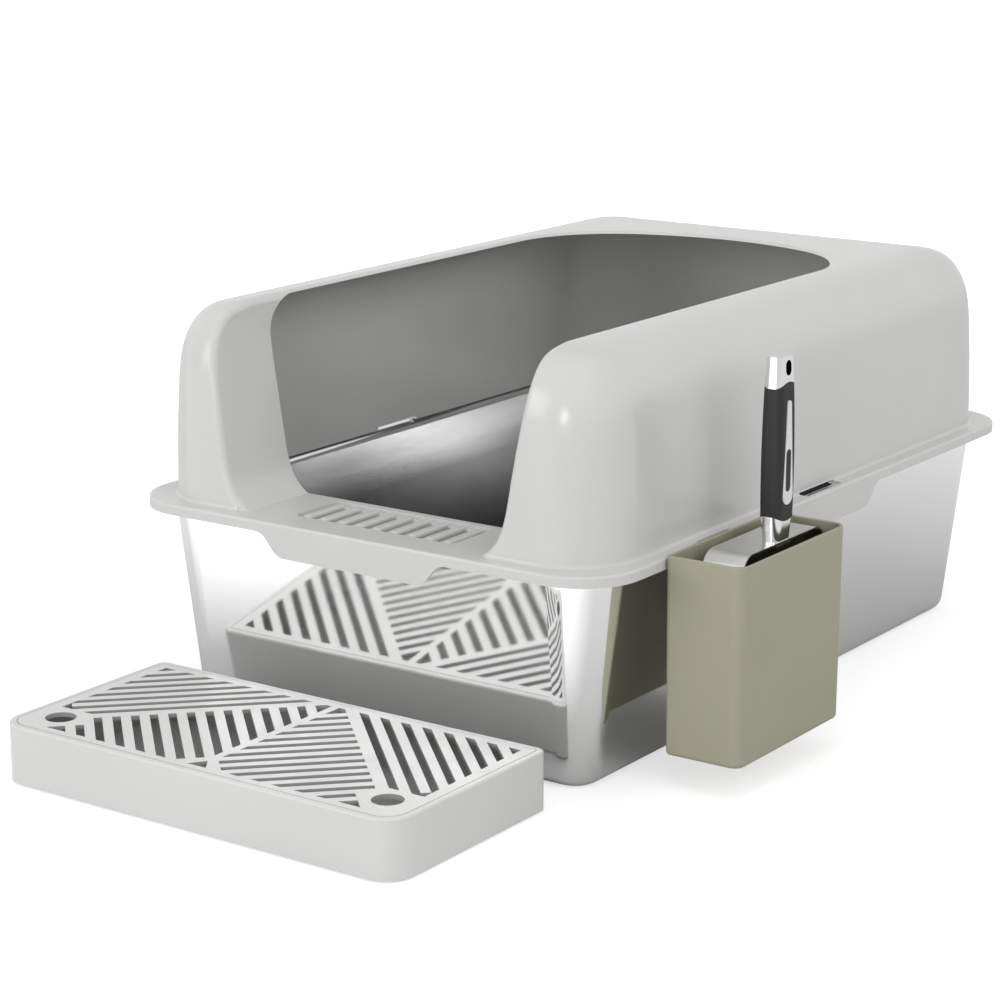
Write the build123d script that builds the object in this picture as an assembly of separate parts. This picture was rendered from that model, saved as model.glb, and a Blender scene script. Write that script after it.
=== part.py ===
"""High-sided litter box: steel pan, moulded guard, step, scoop and scoop holder.

Millimetres, +Z up. The origin is the centre of the pan's underside, the entry faces -Y
and the scoop holder hangs on the +X side.
"""
import os
from math import cos, radians, sin, sqrt, tan

from build123d import *

# Steel pan
pan_h = 153.3
pan_base_w = 335.0
pan_base_l = 534.0
pan_base_corner_r = 20.0
pan_draft = 6.6
pan_edge_r = 12.0
pan_sheet_t = 0.8
pan_rim_w = 9.4
pan_bend_r = 7.0
pan_hem_drop = 5.0

# Guard: flange, skirt and walls
pan_rim_gap = 3.25
flange_corner_r = 45.0
flange_t = 2.0
flange_edge_r = 1.8
flange_ledge = 12.5
foot_r = 2.6
foot_end_gap = 2.0
skirt_drop = 5.5
skirt_t = 2.6
wall_corner_r = 52.0
guard_h = 140.1
guard_skin = 3.2
lip_t = 1.8
wall_depth_share = 0.985
wall_z_shares = (0.0, 0.34, 0.58, 0.72, 0.82, 0.888, 0.934, 0.967, 0.984, 0.994, 1.0)
wall_inset_shares = (0.0, 0.016, 0.049, 0.088, 0.166, 0.264, 0.371, 0.508, 0.654, 0.82, 1.0)

# Guard: entry and open top
side_rim_w = 57.5
entry_x_shares = (0.75, 0.785, 0.816, 0.843, 0.874, 0.914, 0.958, 0.989, 1.0)
entry_z_shares = (0.0, 0.022, 0.05, 0.083, 0.145, 0.319, 0.572, 0.76, 0.912)
entry_edge_r = 5.0
return_depth = 68.0
return_corner_r = 27.0
back_rim_d = 96.0
opening_back_r = 200.0
opening_corner_r = 90.0

# Guard: pull tabs, flange slots and sill grille
tab_drop = 16.0
front_tab_w = 109.0
side_tab_w = 100.0
tab_run_share = 1.65
side_slot_l = 50.0
side_slot_reach = 8.0
side_slot_rise = 1.2
grille_half_w = 67.0
grille_l = 48.0
grille_front_land = 14.0
grille_corner_r = 6.0
grille_floor_drop = 2.6
grille_floor_t = 2.4
rib_count = 9
rib_pitch = 14.9
rib_w = 6.6
rib_rise_share = 0.34
rib_gap_w = 3.0
rib_end_margin = 3.0

# Hanger: hook on the scoop holder, notch and apron on the guard
hook_w = 40.0
hook_t = 2.2
hook_drop = 11.0
bridge_t = 1.7
apron_drop = 14.0
apron_margin = 4.0
hanger_gap = 0.4

# Step
step_w = 328.0
step_d = 163.5
step_h = 41.1
step_gap = 3.65
step_front_r = 20.0
step_back_r = 7.0
step_wall_t = 4.6
step_floor_t = 2.5
step_edge_r = 1.4
step_ledge_w = 4.0
step_ledge_h = 4.0
step_ledge_r = 9.0
pad_r = 9.0
pad_t = 1.2
pad_inset = 22.0
cover_t = 3.2
cover_gap = 0.5

# Step cover slots
field_side_land = 7.9
field_end_land = 6.05
spine_w = 6.0
fan_start_x = 8.0
fan_bar_w = 8.3
slot_pitch = 12.27
slot_w = 5.6
fan_first_share = 1.19
finger_hole_r = 10.4
finger_side_land = 15.0
finger_end_land = 20.0
finger_land = 16.9
fan_cut_w = 13.3
fan_cut_rise = 27.6
fan_foot_w = 17.5
foot_window_w = 15.5
foot_window_h = 10.5

# Scoop holder
holder_setback = 144.79
holder_gap = 1.0
holder_h = 136.0
holder_over_flange = 2.7
holder_wall_t = 2.6
holder_front_r = 10.0
holder_back_r = 4.0
holder_draft = 0.4
holder_edge_r = 3.0
holder_rim_r = 0.8

# Scoop
blade_depth = 30.5
blade_w = 109.0
blade_back_room = 10.9
blade_front_room = 11.9
blade_side_room = 12.65
scoop_shift = 8.7
handle_inset = 23.5
blade_l = 133.0
blade_t = 1.2
blade_corner_r = 13.0
blade_tip_depth = 7.0
blade_slope_share = 0.64
blade_slot_w = 5.0
blade_slot_l = 84.0
blade_slot_pitch = 10.5
blade_slot_count = 9
blade_slot_foot = 14.0
handle_w = 24.0
handle_d = 16.0
handle_corner_share = 0.36
handle_foot_share = 0.97
handle_end_share = 0.9
ferrule_foot_share = 0.8
ferrule_h = 17.5
ferrule_dip = 4.0
grip_l = 84.0
cap_h = 21.9
cap_top_share = 0.78
cap_arch = 5.0
seam_gap = 0.15
tang_w = 9.0
tang_t = 4.0
tang_foot_w = 20.0
tang_foot_d = 12.0
tang_foot_t = 2.0
tang_in_cap = 6.0
hang_slot_w = 7.0
hang_slot_h = 10.0
hang_slot_drop = 7.6
inlay_low_r = 6.5
inlay_high_r = 2.5
inlay_foot_rise = 13.4
inlay_run = 61.0
inlay_t = 1.6
inlay_proud = 0.3
insert_w = 6.6
insert_l = 28.6
insert_rise = 16.6
insert_proud = 0.25

# How far a cutting body runs past the face it cuts, and how closely an edge is located
overrun = 20.0
pick_margin = 0.2

# Sizes that follow from the ones above
flange_top_z = pan_h + flange_t
guard_top_z = pan_h + guard_h
skirt_foot_z = pan_h - skirt_drop
pan_spread = pan_h * tan(radians(pan_draft)) + pan_rim_w
pan_rim_outer_w = pan_base_w + 2 * pan_spread
pan_rim_outer_l = pan_base_l + 2 * pan_spread
flange_w = pan_rim_outer_w + 2 * (pan_rim_gap + skirt_t)
flange_l = pan_rim_outer_l + 2 * (pan_rim_gap + skirt_t)
wall_half_w = flange_w / 2 - flange_ledge
wall_half_l = flange_l / 2 - flange_ledge
return_y = -wall_half_l + return_depth
entry_half_w = wall_half_w - side_rim_w
opening_back_y = wall_half_l - back_rim_d
step_y = -flange_l / 2 - step_gap - step_d / 2
field_half_w = step_w / 2 - step_wall_t - cover_gap - field_side_land
field_half_d = step_d / 2 - step_wall_t - cover_gap - field_end_land
finger_hole_x = field_half_w - finger_side_land
finger_hole_y = -field_half_d + finger_end_land
skirt_x = flange_w / 2
hook_x = skirt_x - skirt_t - hanger_gap - hook_t
holder_back_x = skirt_x + holder_gap
holder_y = -flange_l / 2 + holder_setback
holder_d = blade_back_room + blade_depth + blade_front_room + 2 * holder_wall_t
holder_w = blade_w + 2 * (blade_side_room + holder_wall_t)
holder_top_z = flange_top_z + holder_over_flange
holder_foot_z = holder_top_z - holder_h
blade_back_x = holder_back_x + holder_wall_t + blade_back_room
blade_front_x = blade_back_x + blade_depth
scoop_x = blade_back_x + handle_inset
scoop_y = holder_y + scoop_shift
blade_foot_z = holder_foot_z + holder_wall_t
blade_top_z = blade_foot_z + blade_l
grip_foot_z = blade_top_z + ferrule_h
cap_foot_z = grip_foot_z + grip_l
handle_top_z = cap_foot_z + cap_h


def plate(width, length, corner_r, z_low, z_high):
    """Flat plate with rounded corners, centred on the Z axis."""
    return extrude(Pos(0, 0, z_low) * RectangleRounded(width, length, corner_r), z_high - z_low)


def block(x_low, x_high, y_low, y_high, z_low, z_high):
    """Box between two corners."""
    size = (x_high - x_low, y_high - y_low, z_high - z_low)
    return Pos((x_low + x_high) / 2, (y_low + y_high) / 2, (z_low + z_high) / 2) * Box(*size)


def flare(body, bend_r):
    """Rounds the inner corner between a drafted wall and the plate on top of it."""
    plate_foot = body.faces().filter_by(Plane.XY).sort_by(Axis.Z)[1]
    return fillet(plate_foot.inner_wires()[0].edges(), bend_r)


def pan():
    """Drawn pan: drafted wall, rounded bottom edge, and a rim bent outward with a turned-down hem."""
    spread = tan(radians(pan_draft))
    run = pan_sheet_t / cos(radians(pan_draft)) - pan_sheet_t * spread
    outer = extrude(RectangleRounded(pan_base_w, pan_base_l, pan_base_corner_r), pan_h, taper=-pan_draft)
    outer = fillet(outer.faces().sort_by(Axis.Z)[0].edges(), pan_edge_r)
    hollow_foot = Pos(0, 0, pan_sheet_t) * RectangleRounded(
        pan_base_w - 2 * run, pan_base_l - 2 * run, pan_base_corner_r - run
    )
    hollow = extrude(hollow_foot, pan_h, taper=-pan_draft)
    hollow = fillet(hollow.faces().sort_by(Axis.Z)[0].edges(), pan_edge_r - pan_sheet_t)
    hollow &= plate(pan_rim_outer_w, pan_rim_outer_l, pan_base_corner_r, 0, pan_h)
    rim_r = pan_base_corner_r + pan_spread
    hem_foot_z = pan_h - pan_hem_drop
    outer += plate(pan_rim_outer_w, pan_rim_outer_l, rim_r, pan_h - pan_sheet_t, pan_h)
    outer = flare(outer, pan_bend_r - pan_sheet_t)
    hollow += plate(pan_rim_outer_w, pan_rim_outer_l, rim_r, pan_h, pan_h + overrun)
    hollow = flare(hollow, pan_bend_r)
    hem = plate(pan_rim_outer_w, pan_rim_outer_l, rim_r, hem_foot_z, pan_h)
    inner_w = pan_rim_outer_w - 2 * pan_sheet_t
    inner_l = pan_rim_outer_l - 2 * pan_sheet_t
    hem -= plate(inner_w, inner_l, rim_r - pan_sheet_t, hem_foot_z, pan_h)
    return outer + hem - hollow


def hood(half_w, half_l, corner_r, height):
    """Solid hood whose walls follow one curved profile along the sides and round the corners."""
    depth = corner_r * wall_depth_share
    points = [
        (corner_r - depth * inset, 0, height * rise)
        for inset, rise in zip(wall_inset_shares, wall_z_shares)
    ]
    profile = make_face(
        [
            Line((0, 0, 0), points[0]),
            Spline(*points, tangents=((0, 0, 1), (-1, 0, 0))),
            Line(points[-1], (0, 0, height)),
            Line((0, 0, height), (0, 0, 0)),
        ]
    )
    core_x = half_w - corner_r
    core_y = half_l - corner_r
    body = block(-core_x, core_x, -core_y, core_y, 0, height)
    quarter = revolve(profile, Axis.Z, 90)
    for turn, side_x, side_y, run in (
        (0, core_x, core_y, core_y),
        (90, -core_x, core_y, core_x),
        (180, -core_x, -core_y, core_y),
        (270, core_x, -core_y, core_x),
    ):
        spot = Pos(side_x, side_y, 0) * Rot(0, 0, turn)
        body += spot * quarter
        body += spot * extrude(profile, 2 * run, dir=(0, -1, 0))
    return Pos(0, 0, pan_h) * body


def foot_fillet():
    """Hollow rounding between the walls' foot and the flange, left out across the entry."""
    core_x = wall_half_w - wall_corner_r
    core_y = wall_half_l - wall_corner_r
    inner_r = wall_corner_r - guard_skin / 2
    profile = make_face(
        [
            Line((inner_r, 0, 0), (wall_corner_r + foot_r, 0, 0)),
            TangentArc((wall_corner_r + foot_r, 0, 0), (wall_corner_r, 0, foot_r), tangent=(-1, 0, 0)),
            Line((wall_corner_r, 0, foot_r), (inner_r, 0, foot_r)),
            Line((inner_r, 0, foot_r), (inner_r, 0, 0)),
        ]
    )
    front_run = core_x - entry_half_w * entry_x_shares[0] - entry_edge_r - foot_end_gap
    quarter = revolve(profile, Axis.Z, 90)
    body = Part()
    for turn, side_x, side_y, run in (
        (0, core_x, core_y, 2 * core_y),
        (90, -core_x, core_y, 2 * core_x),
        (180, -core_x, -core_y, 2 * core_y),
        (270, core_x, -core_y, front_run),
    ):
        spot = Pos(side_x, side_y, flange_top_z) * Rot(0, 0, turn)
        body += spot * quarter
        body += spot * extrude(profile, run, dir=(0, -1, 0))
    left_front = extrude(profile, front_run, dir=(0, 1, 0))
    return body + Pos(-core_x, -core_y, flange_top_z) * Rot(0, 0, 270) * left_front


def entry_prism(grow, sink, y_low, y_high):
    """Splayed entry section, swept along Y."""
    rise = guard_h - flange_t
    low_z = flange_top_z - sink
    points = [
        (entry_half_w * x + grow, y_low, low_z + (rise + sink) * z)
        for x, z in zip(entry_x_shares, entry_z_shares)
    ]
    mirrored = [(-x, y, z) for x, y, z in points]
    top_z = guard_top_z + overrun
    top_right = (points[-1][0], y_low, top_z)
    top_left = (mirrored[-1][0], y_low, top_z)
    section = make_face(
        [
            Line(mirrored[0], points[0]),
            Spline(*points),
            Line(points[-1], top_right),
            Line(top_right, top_left),
            Line(top_left, mirrored[-1]),
            Spline(*mirrored),
        ]
    )
    return extrude(section, y_high - y_low, dir=(0, 1, 0))


def opening_prism():
    """Plan of the open top: straight sides and a broad curved back."""
    front_y = -flange_l
    side_y = opening_back_y - opening_back_r + sqrt(opening_back_r**2 - entry_half_w**2)
    tip = (0, opening_back_y)
    outline = make_face(
        [
            Line((-entry_half_w, side_y), (-entry_half_w, front_y)),
            Line((-entry_half_w, front_y), (entry_half_w, front_y)),
            Line((entry_half_w, front_y), (entry_half_w, side_y)),
            ThreePointArc((entry_half_w, side_y), tip, (-entry_half_w, side_y)),
        ]
    )
    corners = outline.vertices().filter_by_position(Axis.Y, side_y - overrun, opening_back_y)
    outline = fillet(corners, opening_corner_r)
    return extrude(Pos(0, 0, skirt_foot_z) * outline, guard_h + overrun)


def tab(width):
    """Pull tab in the XZ plane, hanging from the skirt's lower edge, ends swept up in an S."""
    run = tab_drop * tab_run_share
    low_z = skirt_foot_z - tab_drop
    half = width / 2
    outline = make_face(
        [
            Line((-half, 0, low_z), (half, 0, low_z)),
            Spline((half, 0, low_z), (half + run, 0, skirt_foot_z), tangents=((1, 0, 0), (1, 0, 0))),
            Line((half + run, 0, skirt_foot_z), (half + run, 0, pan_h)),
            Line((half + run, 0, pan_h), (-half - run, 0, pan_h)),
            Line((-half - run, 0, pan_h), (-half - run, 0, skirt_foot_z)),
            Spline((-half - run, 0, skirt_foot_z), (-half, 0, low_z), tangents=((1, 0, 0), (1, 0, 0))),
        ]
    )
    return extrude(outline, skirt_t, dir=(0, 1, 0))


def guard_shell():
    """Flange plate with the hollow, open-topped walls standing on it."""
    base = plate(flange_w, flange_l, flange_corner_r, pan_h, flange_top_z)
    base = fillet(base.faces().sort_by(Axis.Z)[-1].edges(), flange_edge_r)
    solid = base + hood(wall_half_w, wall_half_l, wall_corner_r, guard_h)
    front_y = -flange_l / 2 - overrun
    solid -= entry_prism(0, 0, front_y, wall_half_l) & opening_prism()
    post_edges = [
        edge
        for edge in solid.edges()
        if edge.center().Y < return_y
        and edge.center().Z > flange_top_z + entry_edge_r
        and abs(edge.center().X) < entry_half_w
    ]
    top_edges = [
        edge
        for edge in solid.edges().filter_by_position(
            Axis.Z, guard_top_z - pick_margin, guard_top_z + pick_margin
        )
        if abs(edge.center().X) <= entry_half_w + pick_margin
        and edge.center().Y < opening_back_y + pick_margin
    ]
    solid = fillet(post_edges + top_edges, entry_edge_r)
    inner_half_w = wall_half_w - guard_skin
    inner_half_l = wall_half_l - guard_skin
    inner_r = wall_corner_r - guard_skin
    hollow = hood(inner_half_w, inner_half_l, inner_r, guard_h - lip_t)
    hollow += plate(2 * inner_half_w, 2 * inner_half_l, inner_r, skirt_foot_z, pan_h)
    lip_z = guard_top_z - lip_t
    side = make_face(
        [
            Line((0, front_y, 0), (0, return_y, 0)),
            Line((0, return_y, 0), (0, return_y, lip_z - return_corner_r)),
            TangentArc(
                (0, return_y, lip_z - return_corner_r),
                (0, return_y + return_corner_r, lip_z),
                tangent=(0, 0, 1),
            ),
            Line((0, return_y + return_corner_r, lip_z), (0, return_y + return_corner_r, guard_top_z)),
            Line((0, return_y + return_corner_r, guard_top_z), (0, front_y, guard_top_z)),
            Line((0, front_y, guard_top_z), (0, front_y, 0)),
        ]
    )
    sleeve = extrude(side, wall_half_w, both=True)
    sleeve &= entry_prism(guard_skin, flange_t, front_y, 0)
    return solid - (hollow - sleeve)


def grille(shell):
    """Sunk panel in the sill with raised rounded ribs and a drain gap beside each rib."""
    low_y = -flange_l / 2 + grille_front_land + flange_ledge
    mid_y = low_y + grille_l / 2
    floor_z = flange_top_z - grille_floor_drop
    under_z = floor_z - grille_floor_t
    pocket_plan = Pos(0, mid_y, floor_z) * RectangleRounded(2 * grille_half_w, grille_l, grille_corner_r)
    margin = grille_floor_t
    under_plan = Pos(0, mid_y, under_z) * RectangleRounded(
        2 * (grille_half_w + margin), grille_l + 2 * margin, grille_corner_r + margin
    )
    shell += extrude(under_plan, pan_h - under_z)
    shell -= extrude(pocket_plan, overrun)
    rib_l = grille_l - 2 * rib_end_margin
    gap_l = rib_l - rib_w
    for index in range(rib_count):
        rib_x = (index - (rib_count - 1) / 2) * rib_pitch
        gap_x = rib_x + (rib_w + rib_gap_w) / 2
        gap = SlotOverall(gap_l, rib_gap_w, rotation=90)
        shell -= extrude(Pos(gap_x, mid_y, under_z - flange_t) * gap, 2 * flange_t + grille_floor_t)
        rib_plan = Pos(rib_x, mid_y, floor_z - margin / 2) * SlotOverall(rib_l, rib_w, rotation=90)
        rib = extrude(rib_plan, grille_floor_drop + margin / 2)
        rib = fillet(rib.faces().sort_by(Axis.Z)[-1].edges(), rib_w * rib_rise_share)
        shell += rib
    return shell


def add_hanger(body):
    """Notch in the flange's edge for the scoop holder's hook, with an apron below the skirt there."""
    half = hook_w / 2 + hanger_gap
    low_y = holder_y - half
    high_y = holder_y + half
    body += block(
        skirt_x - skirt_t,
        skirt_x,
        low_y - apron_margin,
        high_y + apron_margin,
        pan_h - apron_drop,
        pan_h,
    )
    return body - block(
        hook_x - hanger_gap, skirt_x + overrun, low_y, high_y, pan_h, flange_top_z + overrun
    )


def guard():
    """Whole moulded guard: walls, flange, skirt, tabs, slots, sill grille and hanger notch."""
    body = grille(guard_shell() + foot_fillet())
    skirt = plate(flange_w, flange_l, flange_corner_r, skirt_foot_z, pan_h)
    skirt -= plate(
        flange_w - 2 * skirt_t, flange_l - 2 * skirt_t, flange_corner_r - skirt_t, skirt_foot_z, pan_h
    )
    body += skirt
    body += Pos(0, -flange_l / 2, 0) * tab(front_tab_w)
    for turn in (90, 270):
        body += Rot(0, 0, turn) * Pos(0, -flange_w / 2, 0) * tab(side_tab_w)
    for side in (-1, 1):
        near_x = side * (wall_half_w - overrun)
        far_x = side * (wall_half_w + side_slot_reach)
        body -= block(
            min(near_x, far_x),
            max(near_x, far_x),
            -side_slot_l / 2,
            side_slot_l / 2,
            pan_h - overrun,
            flange_top_z + side_slot_rise,
        )
    return add_hanger(body)


def step_plate(inset, z_low, z_high):
    """Plate in the step's outline, drawn in by an inset; the front corners are the rounder ones."""
    plan = Rectangle(step_w - 2 * inset, step_d - 2 * inset)
    plan = fillet(plan.vertices().sort_by(Axis.Y)[:2], step_front_r - inset)
    plan = fillet(plan.vertices().sort_by(Axis.Y)[-2:], step_back_r - inset)
    return Pos(0, step_y, z_low) * extrude(plan, z_high - z_low)


def step_base():
    """Open tray with a narrow ledge that carries the cover."""
    outer = step_plate(0, pad_t, step_h)
    outer = fillet(outer.faces().sort_by(Axis.Z)[-1].edges(), step_edge_r)
    seat_z = step_h - cover_t
    floor_z = pad_t + step_floor_t
    outer -= step_plate(step_wall_t, seat_z, step_h + overrun)
    outer -= step_plate(step_wall_t, floor_z, seat_z - step_ledge_h)
    well_w = step_w - 2 * (step_wall_t + step_ledge_w)
    well_d = step_d - 2 * (step_wall_t + step_ledge_w)
    outer -= Pos(0, step_y, 0) * plate(well_w, well_d, step_ledge_r, floor_z, step_h)
    return outer


def slot_bars(first_x, first_y, direction, count):
    """Parallel bars at 45 degrees, stepping along the given unit direction."""
    reach = 2 * field_half_w
    turn = 45 if direction[1] < 0 else -45
    bars = [
        Pos(first_x + direction[0] * slot_pitch * k, first_y + direction[1] * slot_pitch * k)
        * Rectangle(reach, slot_pitch - slot_w, rotation=turn)
        for k in range(count)
    ]
    return Sketch() + bars


def cover_windows():
    """Slots of the right half: a fan below the diagonal bar and a corner field above it."""
    half = sin(radians(45))
    top = field_half_d
    spine_x = spine_w / 2
    fan_sum = fan_start_x + top
    cut_y = -top + fan_cut_rise
    cut_x = fan_sum - cut_y
    cut_run = fan_cut_w * half
    foot_x = fan_sum - 2 * cut_run + top
    fan = Polygon(
        (spine_x, top),
        (fan_start_x, top),
        (cut_x, cut_y),
        (cut_x - cut_run, cut_y - cut_run),
        (foot_x, -top),
        (spine_x + fan_foot_w, -top),
        (spine_x, -top + fan_foot_w),
        align=None,
    )
    first_y = top - fan_first_share * 2 * slot_pitch * half
    fan_bar_count = int((foot_x - spine_x + first_y + top) * half / slot_pitch)
    fan -= slot_bars(spine_x, first_y, (half, -half), fan_bar_count)
    side_start_x = fan_start_x + fan_bar_w / half
    land_y = finger_hole_y + finger_land
    side = Polygon(
        (side_start_x, top),
        (field_half_w, top),
        (field_half_w, land_y),
        (side_start_x + top - land_y, land_y),
        align=None,
    )
    first_x = side_start_x + (slot_w + slot_pitch) / 2 / half
    side_bar_count = 1 + int((field_half_w - first_x) * half / slot_pitch)
    side -= slot_bars(first_x, top, (half, half), side_bar_count)
    return fan + side


def step_cover():
    """Slotted cover with two finger holes, flush with the step's rim."""
    seat_z = step_h - cover_t
    body = step_plate(step_wall_t + cover_gap, seat_z, step_h)
    windows = cover_windows()
    foot = Polygon(
        (-foot_window_w / 2, -field_half_d),
        (foot_window_w / 2, -field_half_d),
        (0, -field_half_d + foot_window_h),
        align=None,
    )
    holes = [Pos(side * finger_hole_x, finger_hole_y) * Circle(finger_hole_r) for side in (-1, 1)]
    cuts = Sketch() + [windows, mirror(windows, Plane.YZ), foot] + holes
    body -= Pos(0, step_y, seat_z - cover_t / 2) * extrude(cuts, 2 * cover_t, dir=(0, 0, 1))
    return body


def step_pads():
    """Four round rubber pads under the step."""
    spots = GridLocations(step_w - 2 * pad_inset, step_d - 2 * pad_inset, 2, 2)
    return Compound([Pos(0, step_y, 0) * spot * extrude(Circle(pad_r), pad_t) for spot in spots])


def holder_plan(inset):
    """Outline of the scoop holder's mouth, drawn in by an inset; the outer corners are rounder."""
    plan = Rectangle(holder_d - 2 * inset, holder_w - 2 * inset)
    plan = fillet(plan.vertices().sort_by(Axis.X)[-2:], holder_front_r - inset)
    plan = fillet(plan.vertices().sort_by(Axis.X)[:2], holder_back_r - inset)
    return Pos(holder_back_x + holder_d / 2, holder_y, holder_top_z) * plan


def scoop_holder():
    """Open bin with a hook at the back that drops over the guard's skirt."""
    body = extrude(holder_plan(0), holder_h, dir=(0, 0, -1), taper=holder_draft)
    body = fillet(body.faces().sort_by(Axis.Z)[0].edges(), holder_edge_r)
    body -= extrude(
        holder_plan(holder_wall_t), holder_h - holder_wall_t, dir=(0, 0, -1), taper=holder_draft
    )
    body = fillet(body.faces().sort_by(Axis.Z)[-1].edges(), holder_rim_r)
    low_y = holder_y - hook_w / 2
    high_y = holder_y + hook_w / 2
    body += block(hook_x, hook_x + hook_t, low_y, high_y, pan_h - hook_drop, pan_h + bridge_t)
    body += block(hook_x, holder_back_x + holder_wall_t / 2, low_y, high_y, pan_h, pan_h + bridge_t)
    return body


def scoop_blade():
    """Bent steel tray: slotted floor, rear wall on top and side walls that run out at the tip."""
    half = blade_w / 2

    def section(inset, low_z):
        top_z = blade_top_z - inset
        wide = half - inset
        plan = make_face(
            Polyline(
                (0, scoop_y - wide, low_z),
                (0, scoop_y + wide, low_z),
                (0, scoop_y + wide, top_z),
                (0, scoop_y - wide, top_z),
                close=True,
            )
        )
        corners = plan.vertices().sort_by(Axis.Z)[-2:]
        return fillet(corners, blade_corner_r - inset)

    depth = blade_front_x - blade_back_x
    outer = Pos(blade_back_x, 0, 0) * section(0, blade_foot_z)
    inner = Pos(blade_back_x + blade_t, 0, 0) * section(blade_t, blade_foot_z - overrun)
    body = extrude(outer, depth, dir=(1, 0, 0)) - extrude(inner, depth + overrun, dir=(1, 0, 0))
    slope_z = blade_foot_z + blade_l * blade_slope_share
    tip_x = blade_back_x + blade_tip_depth
    wedge = make_face(
        Polyline(
            (tip_x, scoop_y, blade_foot_z),
            (blade_front_x, scoop_y, slope_z),
            (blade_front_x + overrun, scoop_y, slope_z),
            (blade_front_x + overrun, scoop_y, blade_foot_z - overrun),
            (tip_x, scoop_y, blade_foot_z - overrun),
            close=True,
        )
    )
    body -= extrude(wedge, blade_w, both=True)
    slot_low_z = blade_foot_z + blade_slot_foot
    for index in range(blade_slot_count):
        slot_y = scoop_y + (index - (blade_slot_count - 1) / 2) * blade_slot_pitch
        body -= block(
            blade_back_x - overrun,
            blade_back_x + 2 * blade_t,
            slot_y - blade_slot_w / 2,
            slot_y + blade_slot_w / 2,
            slot_low_z,
            slot_low_z + blade_slot_l,
        )
    return body - tang_column(blade_top_z - overrun / 2)


def tang_column(low_z):
    """Rectangular bar of the tang, from the given height to its top."""
    return block(
        scoop_x - tang_t / 2,
        scoop_x + tang_t / 2,
        scoop_y - tang_w / 2,
        scoop_y + tang_w / 2,
        low_z,
        cap_foot_z + tang_in_cap,
    )


def scoop_tang():
    """Steel core of the handle with a foot under the blade's rear wall."""
    foot_top = blade_top_z - blade_t
    foot = block(
        scoop_x - tang_foot_d / 2,
        scoop_x + tang_foot_d / 2,
        scoop_y - tang_foot_w / 2,
        scoop_y + tang_foot_w / 2,
        foot_top - tang_foot_t,
        foot_top,
    )
    return foot + tang_column(foot_top)


def handle_ring(share, z):
    """Rounded section of the handle at one height."""
    ring = RectangleRounded(handle_d * share, handle_w * share, handle_d * share * handle_corner_share)
    return Pos(scoop_x, scoop_y, z) * ring


def seam_cutter(mid_z, edge_z, low_z):
    """Everything below a shallow arc that runs across the handle's width."""
    half = handle_w / 2
    outline = make_face(
        [
            ThreePointArc((0, -half, edge_z), (0, 0, mid_z), (0, half, edge_z)),
            Line((0, half, edge_z), (0, half, low_z)),
            Line((0, half, low_z), (0, -half, low_z)),
            Line((0, -half, low_z), (0, -half, edge_z)),
        ]
    )
    return Pos(scoop_x, scoop_y, 0) * extrude(outline, handle_d, both=True)


def scoop_ferrule():
    """Bright collar between blade and grip, its upper edge dipping at the middle of each face."""
    body = loft(
        [handle_ring(ferrule_foot_share, blade_top_z), handle_ring(handle_foot_share, grip_foot_z)], ruled=True
    )
    body &= seam_cutter(grip_foot_z - ferrule_dip, grip_foot_z, blade_top_z)
    return body - tang_column(blade_top_z)


def inlay_plan(run_in):
    """Teardrop outline on the YZ plane, narrow end up."""
    low_z = grip_foot_z + inlay_foot_rise
    low = Circle(inlay_low_r - run_in)
    high = Pos(0, inlay_run) * Circle(inlay_high_r - run_in)
    hull = make_hull([*low.edges(), *high.edges()])
    return Plane((0, scoop_y, low_z), x_dir=(0, 1, 0), z_dir=(1, 0, 0)) * hull


def insert_plan():
    """Upright slot outline on the YZ plane."""
    slot = SlotOverall(insert_l, insert_w, rotation=90)
    low_z = grip_foot_z + inlay_foot_rise + insert_rise
    return Plane((0, scoop_y, low_z), x_dir=(0, 1, 0), z_dir=(1, 0, 0)) * slot


def on_both_faces(plan, depth_low, depth_high):
    """Plan extruded between two distances from the handle's middle plane, on both broad faces."""
    piece = extrude(Pos(depth_low, 0, 0) * plan, depth_high - depth_low, dir=(1, 0, 0))
    across = mirror(piece, Plane.YZ)
    return [Pos(scoop_x, 0, 0) * piece, Pos(scoop_x, 0, 0) * across]


def cap_blank():
    """Tapered end of the handle, before it is divided between grip and cap."""
    return loft(
        [handle_ring(handle_end_share, cap_foot_z), handle_ring(cap_top_share, handle_top_z)], ruled=True
    )


def scoop_grip():
    """Soft grip, fullest at mid-height, arched into the cap, with an inlay pocket on each broad face."""
    mid_z = (grip_foot_z + cap_foot_z) / 2
    low_z = grip_foot_z - ferrule_dip
    body = loft(
        [
            handle_ring(handle_foot_share, low_z),
            handle_ring(1, mid_z),
            handle_ring(handle_end_share, cap_foot_z),
        ]
    )
    body -= seam_cutter(
        grip_foot_z - ferrule_dip + seam_gap, grip_foot_z + seam_gap, low_z - overrun
    )
    arch_z = cap_foot_z + cap_arch
    body += cap_blank() & seam_cutter(arch_z - seam_gap, cap_foot_z - seam_gap, cap_foot_z - overrun)
    body -= tang_column(low_z - overrun)
    pocket_low = handle_d / 2 - inlay_t
    for pocket in on_both_faces(inlay_plan(0), pocket_low, handle_d):
        body -= pocket
    return body


def scoop_inlays():
    """Bright teardrop plates, one let into each broad face of the grip."""
    outer = handle_d / 2 + inlay_proud
    pocket_low = handle_d / 2 - inlay_t
    plates = on_both_faces(inlay_plan(seam_gap), pocket_low, outer)
    wells = on_both_faces(insert_plan(), pocket_low, handle_d)
    return Compound([plate_ - well for plate_, well in zip(plates, wells)])


def scoop_inlay_inserts():
    """Dark slot-shaped inserts in the inlay plates."""
    plan = insert_plan()
    inset = offset(plan, -seam_gap)
    outer = handle_d / 2 + inlay_proud - insert_proud
    return Compound(on_both_faces(inset, handle_d / 2 - inlay_t, outer))


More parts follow.
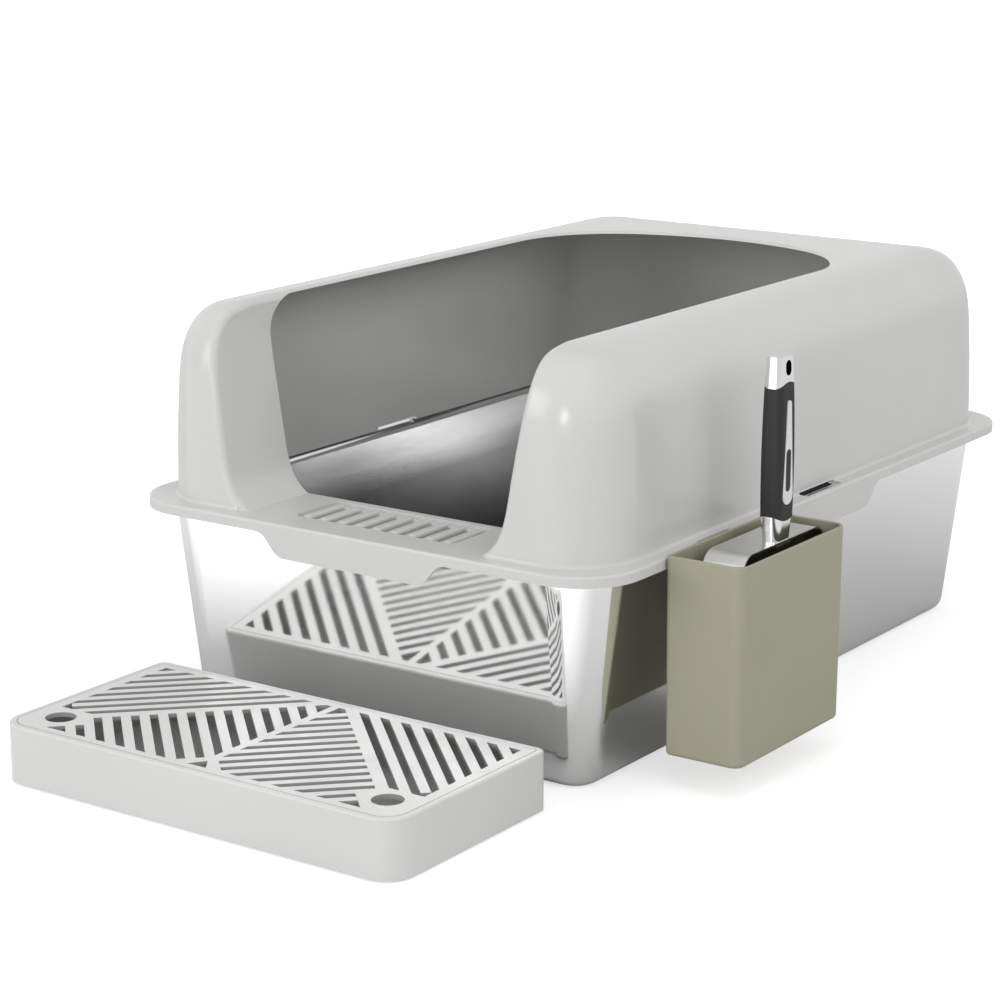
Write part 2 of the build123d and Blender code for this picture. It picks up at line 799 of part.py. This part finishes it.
def scoop_end_cap():
    """Bright cap with an arched lower edge and a hang slot through its broad faces."""
    body = cap_blank() - seam_cutter(cap_foot_z + cap_arch, cap_foot_z, cap_foot_z - overrun)
    slot = SlotOverall(hang_slot_h, hang_slot_w, rotation=90)
    slot_plane = Plane(
        (scoop_x, scoop_y, handle_top_z - hang_slot_drop), x_dir=(0, 1, 0), z_dir=(1, 0, 0)
    )
    body -= extrude(slot_plane * slot, handle_d, both=True)
    return body - tang_column(cap_foot_z)


os.makedirs("parts", exist_ok=True)
nodes = {
    "steel_pan": pan,
    "guard": guard,
    "step_base": step_base,
    "step_cover": step_cover,
    "step_pads": step_pads,
    "scoop_holder": scoop_holder,
    "scoop_blade": scoop_blade,
    "scoop_tang": scoop_tang,
    "scoop_ferrule": scoop_ferrule,
    "scoop_grip": scoop_grip,
    "scoop_inlays": scoop_inlays,
    "scoop_inlay_inserts": scoop_inlay_inserts,
    "scoop_end_cap": scoop_end_cap,
}
for name, make in nodes.items():
    export_step(make(), f"parts/{name}.step")
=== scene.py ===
import math

import bmesh
import bpy
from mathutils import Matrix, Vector

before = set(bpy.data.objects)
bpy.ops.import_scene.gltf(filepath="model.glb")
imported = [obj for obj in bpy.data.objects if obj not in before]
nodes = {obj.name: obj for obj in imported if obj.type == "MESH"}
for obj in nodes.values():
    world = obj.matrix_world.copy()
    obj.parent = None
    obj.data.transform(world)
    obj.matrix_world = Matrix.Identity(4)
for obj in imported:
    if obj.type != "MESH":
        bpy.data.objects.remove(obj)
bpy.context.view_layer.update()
scene = bpy.context.scene
scene.view_settings.view_transform = "Standard"


# Places in the shared frame, in metres, taken from the solids at rest
def solid_box(name):
    """Lowest and highest corner of a solid."""
    by_axis = list(zip(*(vertex.co for vertex in nodes[name].data.vertices)))
    return tuple(map(min, by_axis)), tuple(map(max, by_axis))


ledge_margin = 0.002
slot_drop = 0.0076
slot_straight_half = 0.0015
slot_radius = 0.0036
pan_foot_half = (0.17, 0.27, 0)
# Heights of the pan lining's painted highlight band under the rim
pan_painted_highlight_band = (0.108, 0.128)

step_low, step_high = solid_box("step_base")
cover_low, _ = solid_box("step_cover")
cap_low, cap_high = solid_box("scoop_end_cap")
step_middle = (0, (step_low[1] + step_high[1]) / 2, 0)
tray_rim_z = cover_low[2] - ledge_margin
slot_centre = ((cap_low[0] + cap_high[0]) / 2, (cap_low[1] + cap_high[1]) / 2, cap_high[2] - slot_drop)

# Texture scales in features per metre, with depths in metres
noise_band = (0.3, 0.7)
drift_scale = 7.0
gloss_scale = 38.0
smear_scale = 9.0
slow_detail = 2.0
plastic_bump = 0.05
broad_ripple = (70.0, 0.0006)
holder_ripple = (90.0, 0.0006)
inlay_ripple = (120.0, 0.0002)
rubber_ripple = (260.0, 0.0004)
mark_detail = 4.0
mark_roughness = 0.6
mark_scale = 80.0
mark_depth = 0.00002
mark_bump = 0.05
along_handle = (1, 1, 16)
along_blade = (1, 16, 1)
pan_mark_scale = 55.0
pan_mark_depth = 0.00003
pan_mark_bump = 0.02
along_wall = (1, 1, 14)

# Painted shades as shares of the full tone, and the bands of a face's direction over which they set in
full_range = (0.0, 1.0)
# Painted shade on the walls of the cover's slots
slot_wall_painted_shades = (0.5, 1.0)
slot_wall_to_top = (0.2, 0.8)
# Painted shade on the tray's floor and walls under the cover
tray_painted_shades = (1.0, 0.78)
tray_down = (0, 0, -0.05)
pan_down = (0, 0, -0.3)
# Painted shade on the blade's top and sides, the forward-facing nose kept full
blade_painted_shades = (1.0, 0.72)
nose_to_side = (-0.6, -0.2)
# Painted shade on the cap's top and inside its hang slot
cap_top_painted_shades = (1.0, 0.6)
cap_side_to_top = (0.5, 0.9)
hang_slot_painted_shades = (1.0, 0.1)

# Studio: reaches on the floor in metres, and strengths where 1 is white
floor_half_side = 9.0
floor_tone = 0.56
floor_roughness = 0.9
floor_specular = 0.1
seen_reach = (0.35, 1.3)
seen_lifts = (0.6, 1.0)
# Painted reflection: the floor's glow in mirrors, away from the pan and before the step
away_reach = (0.06, 0.4)
away_painted_lifts = (0.0, 0.25)
before_step_reach = (-0.34, -0.56)
before_step_painted_lifts = (0.0, 0.85)
holder_side_reach = (0.2, 0.6)
holder_side_shares = (1.0, 0.0)
sky_climb = (0.2, 0.6)
sky_in_mirrors = (0.9, 0.62)
sky_as_light = 0.6
thrown_back_shares = (1.0, 0.45)

# Camera, placed as the photo's straight edges say
camera_place = (1.10599, -1.70092, 0.63205)
camera_yaw = math.radians(35.03)
camera_pitch = math.radians(14.2)
camera_lens = 100.0
camera_sensor = 36.0


# Node helpers
def new_material(name):
    """Empty material with a Principled shader on its output."""
    material = bpy.data.materials.new(name)
    material.use_nodes = True
    tree = material.node_tree
    tree.nodes.clear()
    out = tree.nodes.new("ShaderNodeOutputMaterial")
    shader = tree.nodes.new("ShaderNodeBsdfPrincipled")
    tree.links.new(shader.outputs["BSDF"], out.inputs["Surface"])
    return material, tree, shader


def object_coords(tree, scale=(1, 1, 1)):
    """Object coordinates in metres, stretched along the axes."""
    coord = tree.nodes.new("ShaderNodeTexCoord")
    mapping = tree.nodes.new("ShaderNodeMapping")
    mapping.inputs["Scale"].default_value = scale
    tree.links.new(coord.outputs["Object"], mapping.inputs["Vector"])
    return mapping.outputs["Vector"]


def noise(tree, vector, scale, detail=3.0, roughness=0.5):
    """Noise texture, with most of its values inside the noise band."""
    node = tree.nodes.new("ShaderNodeTexNoise")
    node.inputs["Scale"].default_value = scale
    node.inputs["Detail"].default_value = detail
    node.inputs["Roughness"].default_value = roughness
    tree.links.new(vector, node.inputs["Vector"])
    return node.outputs["Fac"]


def remap(tree, value, before, after):
    """Straight map of a value from one range to another, held at the ends."""
    node = tree.nodes.new("ShaderNodeMapRange")
    node.inputs["From Min"].default_value, node.inputs["From Max"].default_value = before
    node.inputs["To Min"].default_value, node.inputs["To Max"].default_value = after
    tree.links.new(value, node.inputs["Value"])
    return node.outputs["Result"]


def math_node(tree, operation, first, second=0.0):
    """Math node on two sockets or numbers."""
    node = tree.nodes.new("ShaderNodeMath")
    node.operation = operation
    for socket, value in zip(node.inputs, (first, second)):
        if isinstance(value, (int, float)):
            socket.default_value = value
        else:
            tree.links.new(value, socket)
    return node.outputs["Value"]


def vector_math(tree, operation, first, second=None):
    """Vector math node on a socket and a second socket or fixed vector."""
    node = tree.nodes.new("ShaderNodeVectorMath")
    node.operation = operation
    tree.links.new(first, node.inputs[0])
    if operation == "SCALE":
        tree.links.new(second, node.inputs["Scale"])
    elif isinstance(second, tuple):
        node.inputs[1].default_value = second
    elif second is not None:
        tree.links.new(second, node.inputs[1])
    return node.outputs["Value" if operation in ("LENGTH", "DOT_PRODUCT") else "Vector"]


def split_xyz(tree, vector, axis):
    """One coordinate of a vector."""
    node = tree.nodes.new("ShaderNodeSeparateXYZ")
    tree.links.new(vector, node.inputs["Vector"])
    return node.outputs[axis]


def blend_colours(tree, factor, tones):
    """Blend from the first to the second of two colours."""
    node = tree.nodes.new("ShaderNodeMix")
    node.data_type = "RGBA"
    node.inputs["A"].default_value = (*tones[0], 1)
    node.inputs["B"].default_value = (*tones[1], 1)
    tree.links.new(factor, node.inputs["Factor"])
    return node.outputs["Result"]


def bump(tree, shader, height, strength, depth):
    """Surface relief on a shader."""
    node = tree.nodes.new("ShaderNodeBump")
    node.inputs["Strength"].default_value = strength
    node.inputs["Distance"].default_value = depth
    tree.links.new(height, node.inputs["Height"])
    tree.links.new(node.outputs["Normal"], shader.inputs["Normal"])


def looks_inward(tree, coord, middle, down):
    """One on faces that look towards a piece's middle or up from its floor, zero on the others."""
    from_middle = vector_math(tree, "SUBTRACT", coord.outputs["Object"], middle)
    level = vector_math(tree, "MULTIPLY", from_middle, (1, 1, 0))
    below = vector_math(tree, "ADD", level, down)
    outward = vector_math(tree, "DOT_PRODUCT", below, coord.outputs["Normal"])
    return math_node(tree, "LESS_THAN", outward, 0.0)


def grey(value):
    """Neutral colour."""
    return (value, value, value)


# Painted shade that tones down some faces of a piece
def slot_wall_painted_shade(tree):
    """Slotted cover: full on top, painted shade on the walls of the slots."""
    facing = split_xyz(tree, tree.nodes.new("ShaderNodeTexCoord").outputs["Normal"], "Z")
    return remap(tree, math_node(tree, "ABSOLUTE", facing), slot_wall_to_top, slot_wall_painted_shades)


def tray_painted_shade(tree):
    """Step tray: full outside, painted shade on the floor and walls under the cover."""
    coord = tree.nodes.new("ShaderNodeTexCoord")
    inward = looks_inward(tree, coord, step_middle, tray_down)
    low = math_node(tree, "LESS_THAN", split_xyz(tree, coord.outputs["Object"], "Z"), tray_rim_z)
    return remap(tree, math_node(tree, "MULTIPLY", inward, low), full_range, tray_painted_shades)


def blade_painted_shade(tree):
    """Blade: full on the rounded nose, painted shade on the top and sides."""
    facing = split_xyz(tree, tree.nodes.new("ShaderNodeTexCoord").outputs["Normal"], "Y")
    return remap(tree, facing, nose_to_side, blade_painted_shades)


def cap_painted_shade(tree):
    """End cap: full on the sides, painted shade on top and dark painted shade inside the hang slot."""
    coord = tree.nodes.new("ShaderNodeTexCoord")
    from_slot = vector_math(tree, "SUBTRACT", coord.outputs["Object"], slot_centre)
    reach = vector_math(tree, "ABSOLUTE", from_slot)
    beyond = vector_math(tree, "SUBTRACT", reach, (0, 0, slot_straight_half))
    across = vector_math(tree, "MULTIPLY", vector_math(tree, "MAXIMUM", beyond, (0, 0, 0)), (0, 1, 1))
    in_slot = math_node(tree, "LESS_THAN", vector_math(tree, "LENGTH", across), slot_radius)
    top = remap(tree, split_xyz(tree, coord.outputs["Normal"], "Z"), cap_side_to_top, cap_top_painted_shades)
    return math_node(tree, "MULTIPLY", top, remap(tree, in_slot, full_range, hang_slot_painted_shades))


# Kinds of material, each with two tones to drift between and a range of roughness
def moulded_plastic(name, tones, gloss, ripple, painted_shade=None):
    """Injection-moulded plastic: slow tone drift, uneven gloss and a faint ripple."""
    material, tree, shader = new_material(name)
    vector = object_coords(tree)
    drift = noise(tree, vector, drift_scale, slow_detail)
    tone = blend_colours(tree, remap(tree, drift, noise_band, full_range), tones)
    if painted_shade:
        tone = vector_math(tree, "SCALE", tone, painted_shade(tree))
    tree.links.new(tone, shader.inputs["Base Color"])
    patches = noise(tree, vector, gloss_scale)
    tree.links.new(remap(tree, patches, noise_band, gloss), shader.inputs["Roughness"])
    ripple_scale, ripple_depth = ripple
    bump(tree, shader, noise(tree, vector, ripple_scale, slow_detail), plastic_bump, ripple_depth)
    return material


def polished_metal(name, tones, gloss, stretch, painted_shade=None):
    """Polished steel with faint polishing marks."""
    material, tree, shader = new_material(name)
    shader.inputs["Metallic"].default_value = 1.0
    smear = noise(tree, object_coords(tree), smear_scale)
    tone = blend_colours(tree, remap(tree, smear, noise_band, full_range), tones)
    if painted_shade:
        tone = vector_math(tree, "SCALE", tone, painted_shade(tree))
    tree.links.new(tone, shader.inputs["Base Color"])
    marks = noise(tree, object_coords(tree, stretch), mark_scale, mark_detail, mark_roughness)
    tree.links.new(remap(tree, marks, noise_band, gloss), shader.inputs["Roughness"])
    bump(tree, shader, marks, mark_bump, mark_depth)
    return material


def drawn_pan(name, shell_tones, lining_shade_to_highlight, gloss, lining_satin):
    """Drawn steel: mirror polished outside, satin inside, painted shade inside with a painted highlight
    band under the rim.
    """
    material, tree, shader = new_material(name)
    shader.inputs["Metallic"].default_value = 1.0
    coord = tree.nodes.new("ShaderNodeTexCoord")
    inside = looks_inward(tree, coord, (0, 0, 0), pan_down)
    smear = noise(tree, coord.outputs["Object"], smear_scale)
    shell = blend_colours(tree, remap(tree, smear, noise_band, full_range), shell_tones)
    height = split_xyz(tree, coord.outputs["Object"], "Z")
    # Painted shade inside the pan, rising to a painted highlight band under the rim
    painted_lining = blend_colours(tree, remap(tree, height, pan_painted_highlight_band, full_range), lining_shade_to_highlight)
    pick = tree.nodes.new("ShaderNodeMix")
    pick.data_type = "RGBA"
    tree.links.new(inside, pick.inputs["Factor"])
    tree.links.new(shell, pick.inputs["A"])
    tree.links.new(painted_lining, pick.inputs["B"])
    tree.links.new(pick.outputs["Result"], shader.inputs["Base Color"])
    marks = noise(tree, object_coords(tree, along_wall), pan_mark_scale, mark_detail, mark_roughness)
    polish = remap(tree, marks, noise_band, gloss)
    satin = math_node(tree, "MULTIPLY", inside, lining_satin)
    tree.links.new(math_node(tree, "ADD", polish, satin), shader.inputs["Roughness"])
    bump(tree, shader, marks, pan_mark_bump, pan_mark_depth)
    return material


# Materials of the pieces
grip_rubber = moulded_plastic(
    "grip_rubber", ((0.009, 0.009, 0.01), (0.014, 0.014, 0.015)), (0.54, 0.62), rubber_ripple
)
scoop_steel = polished_metal("scoop_steel", (grey(0.86), grey(0.91)), (0.13, 0.18), along_handle)
materials = {
    "steel_pan": drawn_pan(
        "pan_steel",
        shell_tones=((0.94, 0.94, 0.938), (0.975, 0.975, 0.973)),
        # Painted shade low in the lining, painted highlight under the rim
        lining_shade_to_highlight=(grey(0.4), grey(0.97)),
        gloss=(0.06, 0.078),
        lining_satin=0.1,
    ),
    "guard": moulded_plastic(
        "grey_plastic", ((0.585, 0.585, 0.572), (0.61, 0.61, 0.598)), (0.2, 0.24), broad_ripple
    ),
    "step_base": moulded_plastic(
        "step_plastic", ((0.63, 0.63, 0.622), (0.66, 0.66, 0.652)), (0.36, 0.44), broad_ripple, tray_painted_shade
    ),
    "step_cover": moulded_plastic(
        "cover_plastic", ((0.66, 0.66, 0.65), (0.69, 0.69, 0.68)), (0.36, 0.44), broad_ripple, slot_wall_painted_shade
    ),
    "step_pads": moulded_plastic("pad_rubber", (grey(0.09), grey(0.12)), (0.7, 0.8), rubber_ripple),
    "scoop_holder": moulded_plastic(
        "sage_plastic", ((0.326, 0.318, 0.23), (0.35, 0.342, 0.25)), (0.46, 0.54), holder_ripple
    ),
    "scoop_blade": polished_metal(
        "blade_steel", (grey(0.93), grey(0.98)), (0.14, 0.2), along_blade, blade_painted_shade
    ),
    "scoop_tang": scoop_steel,
    "scoop_ferrule": scoop_steel,
    "scoop_grip": grip_rubber,
    "scoop_inlays": moulded_plastic("silver_plastic", (grey(0.66), grey(0.72)), (0.2, 0.28), inlay_ripple),
    "scoop_inlay_inserts": grip_rubber,
    "scoop_end_cap": polished_metal(
        "cap_steel", (grey(0.84), grey(0.89)), (0.1, 0.14), along_handle, cap_painted_shade
    ),
}
for name, material in materials.items():
    node = nodes[name]
    node.data.materials.clear()
    node.data.materials.append(material)


# Studio
def studio_floor():
    """Pale floor, lifted to white for the camera away from the object; in mirrors it glows as a painted
    reflection, brighter away from the pan and before the step.
    """
    mesh = bpy.data.meshes.new("floor")
    build = bmesh.new()
    bmesh.ops.create_grid(build, x_segments=1, y_segments=1, size=floor_half_side)
    build.to_mesh(mesh)
    build.free()
    material, tree, shader = new_material("floor_white")
    shader.inputs["Base Color"].default_value = (*grey(floor_tone), 1)
    shader.inputs["Roughness"].default_value = floor_roughness
    shader.inputs["Specular IOR Level"].default_value = floor_specular
    shader.inputs["Emission Color"].default_value = (1, 1, 1, 1)
    place = object_coords(tree)
    seen = remap(tree, vector_math(tree, "LENGTH", place), seen_reach, seen_lifts)
    beside = vector_math(tree, "SUBTRACT", vector_math(tree, "ABSOLUTE", place), pan_foot_half)
    away = vector_math(tree, "LENGTH", vector_math(tree, "MAXIMUM", beside, (0, 0, 0)))
    # Painted reflection: glow seen only in mirrors, rising away from the pan's foot and before the step
    before_step = math_node(
        tree,
        "MULTIPLY",
        remap(tree, split_xyz(tree, place, "Y"), before_step_reach, before_step_painted_lifts),
        remap(tree, split_xyz(tree, place, "X"), holder_side_reach, holder_side_shares),
    )
    mirrored = math_node(tree, "ADD", remap(tree, away, away_reach, away_painted_lifts), before_step)
    path = tree.nodes.new("ShaderNodeLightPath")
    not_as_light = math_node(tree, "LESS_THAN", path.outputs["Diffuse Depth"], 0.5)
    in_mirrors = math_node(tree, "MULTIPLY", path.outputs["Is Glossy Ray"], not_as_light)
    lift = math_node(
        tree,
        "ADD",
        math_node(tree, "MULTIPLY", path.outputs["Is Camera Ray"], seen),
        math_node(tree, "MULTIPLY", in_mirrors, mirrored),
    )
    tree.links.new(lift, shader.inputs["Emission Strength"])
    mesh.materials.append(material)
    return bpy.data.objects.new("floor", mesh)


def studio_world():
    """White where it is seen, darker overhead in mirrors, softer as a light."""
    world = bpy.data.worlds.new("studio")
    world.use_nodes = True
    tree = world.node_tree
    tree.nodes.clear()
    out = tree.nodes.new("ShaderNodeOutputWorld")
    sky = tree.nodes.new("ShaderNodeBackground")
    sky.inputs["Color"].default_value = (1, 1, 1, 1)
    tree.links.new(sky.outputs["Background"], out.inputs["Surface"])
    direction = tree.nodes.new("ShaderNodeTexCoord").outputs["Generated"]
    mirrored = remap(tree, split_xyz(tree, direction, "Z"), sky_climb, sky_in_mirrors)
    path = tree.nodes.new("ShaderNodeLightPath")
    seen = math_node(tree, "MAXIMUM", path.outputs["Is Camera Ray"], path.outputs["Is Transmission Ray"])
    glossy = path.outputs["Is Glossy Ray"]
    as_light = math_node(tree, "MULTIPLY", math_node(tree, "SUBTRACT", 1.0, glossy), sky_as_light)
    thrown_back = remap(tree, path.outputs["Diffuse Depth"], full_range, thrown_back_shares)
    in_mirrors = math_node(tree, "MULTIPLY", glossy, math_node(tree, "MULTIPLY", mirrored, thrown_back))
    unseen = math_node(tree, "ADD", as_light, in_mirrors)
    tree.links.new(math_node(tree, "MAXIMUM", seen, unseen), sky.inputs["Strength"])
    return world


def soft_box(name, place, target, size, power, mirrored=False):
    """Rectangular lamp in metres and watts; only some of them show in shiny surfaces."""
    lamp = bpy.data.lights.new(name, "AREA")
    lamp.shape = "RECTANGLE"
    lamp.size, lamp.size_y = size
    lamp.energy = power
    stand = bpy.data.objects.new(name, lamp)
    scene.collection.objects.link(stand)
    stand.visible_camera = False
    stand.visible_glossy = mirrored
    stand.location = place
    stand.rotation_euler = (Vector(target) - Vector(place)).to_track_quat("-Z", "Y").to_euler()


floor = studio_floor()
scene.collection.objects.link(floor)
scene.world = studio_world()
soft_box("key_box", (-1.35, -2.9, 1.1), (0, -0.1, 0.15), (2.2, 1.3), 30.0, mirrored=True)
soft_box("right_box", (2.9, -1.2, 1.6), (0, 0, 0.15), (3.0, 2.4), 27.5)
soft_box("low_box", (1.2, -3.0, 0.65), (0, 0, 0.2), (0.5, 0.4), 9.0, mirrored=True)
soft_box("left_box", (-2.8, 0.1, 1.0), (0, 0, 0.2), (0.8, 1.8), 13.0)
soft_box("back_box", (1.7, 2.6, 1.2), (0, 0, 0.2), (1.8, 1.2), 10.0)
soft_box("top_box", (0.6, -0.5, 2.4), (0, 0.1, 0.1), (1.6, 1.6), 11.0)

camera_data = bpy.data.cameras.new("photo_camera")
camera_data.lens = camera_lens
camera_data.sensor_width = camera_sensor
camera_data.sensor_fit = "HORIZONTAL"
camera = bpy.data.objects.new("photo_camera", camera_data)
scene.collection.objects.link(camera)
camera.location = camera_place
camera.rotation_euler = (math.pi / 2 - camera_pitch, 0, camera_yaw)
scene.camera = camera
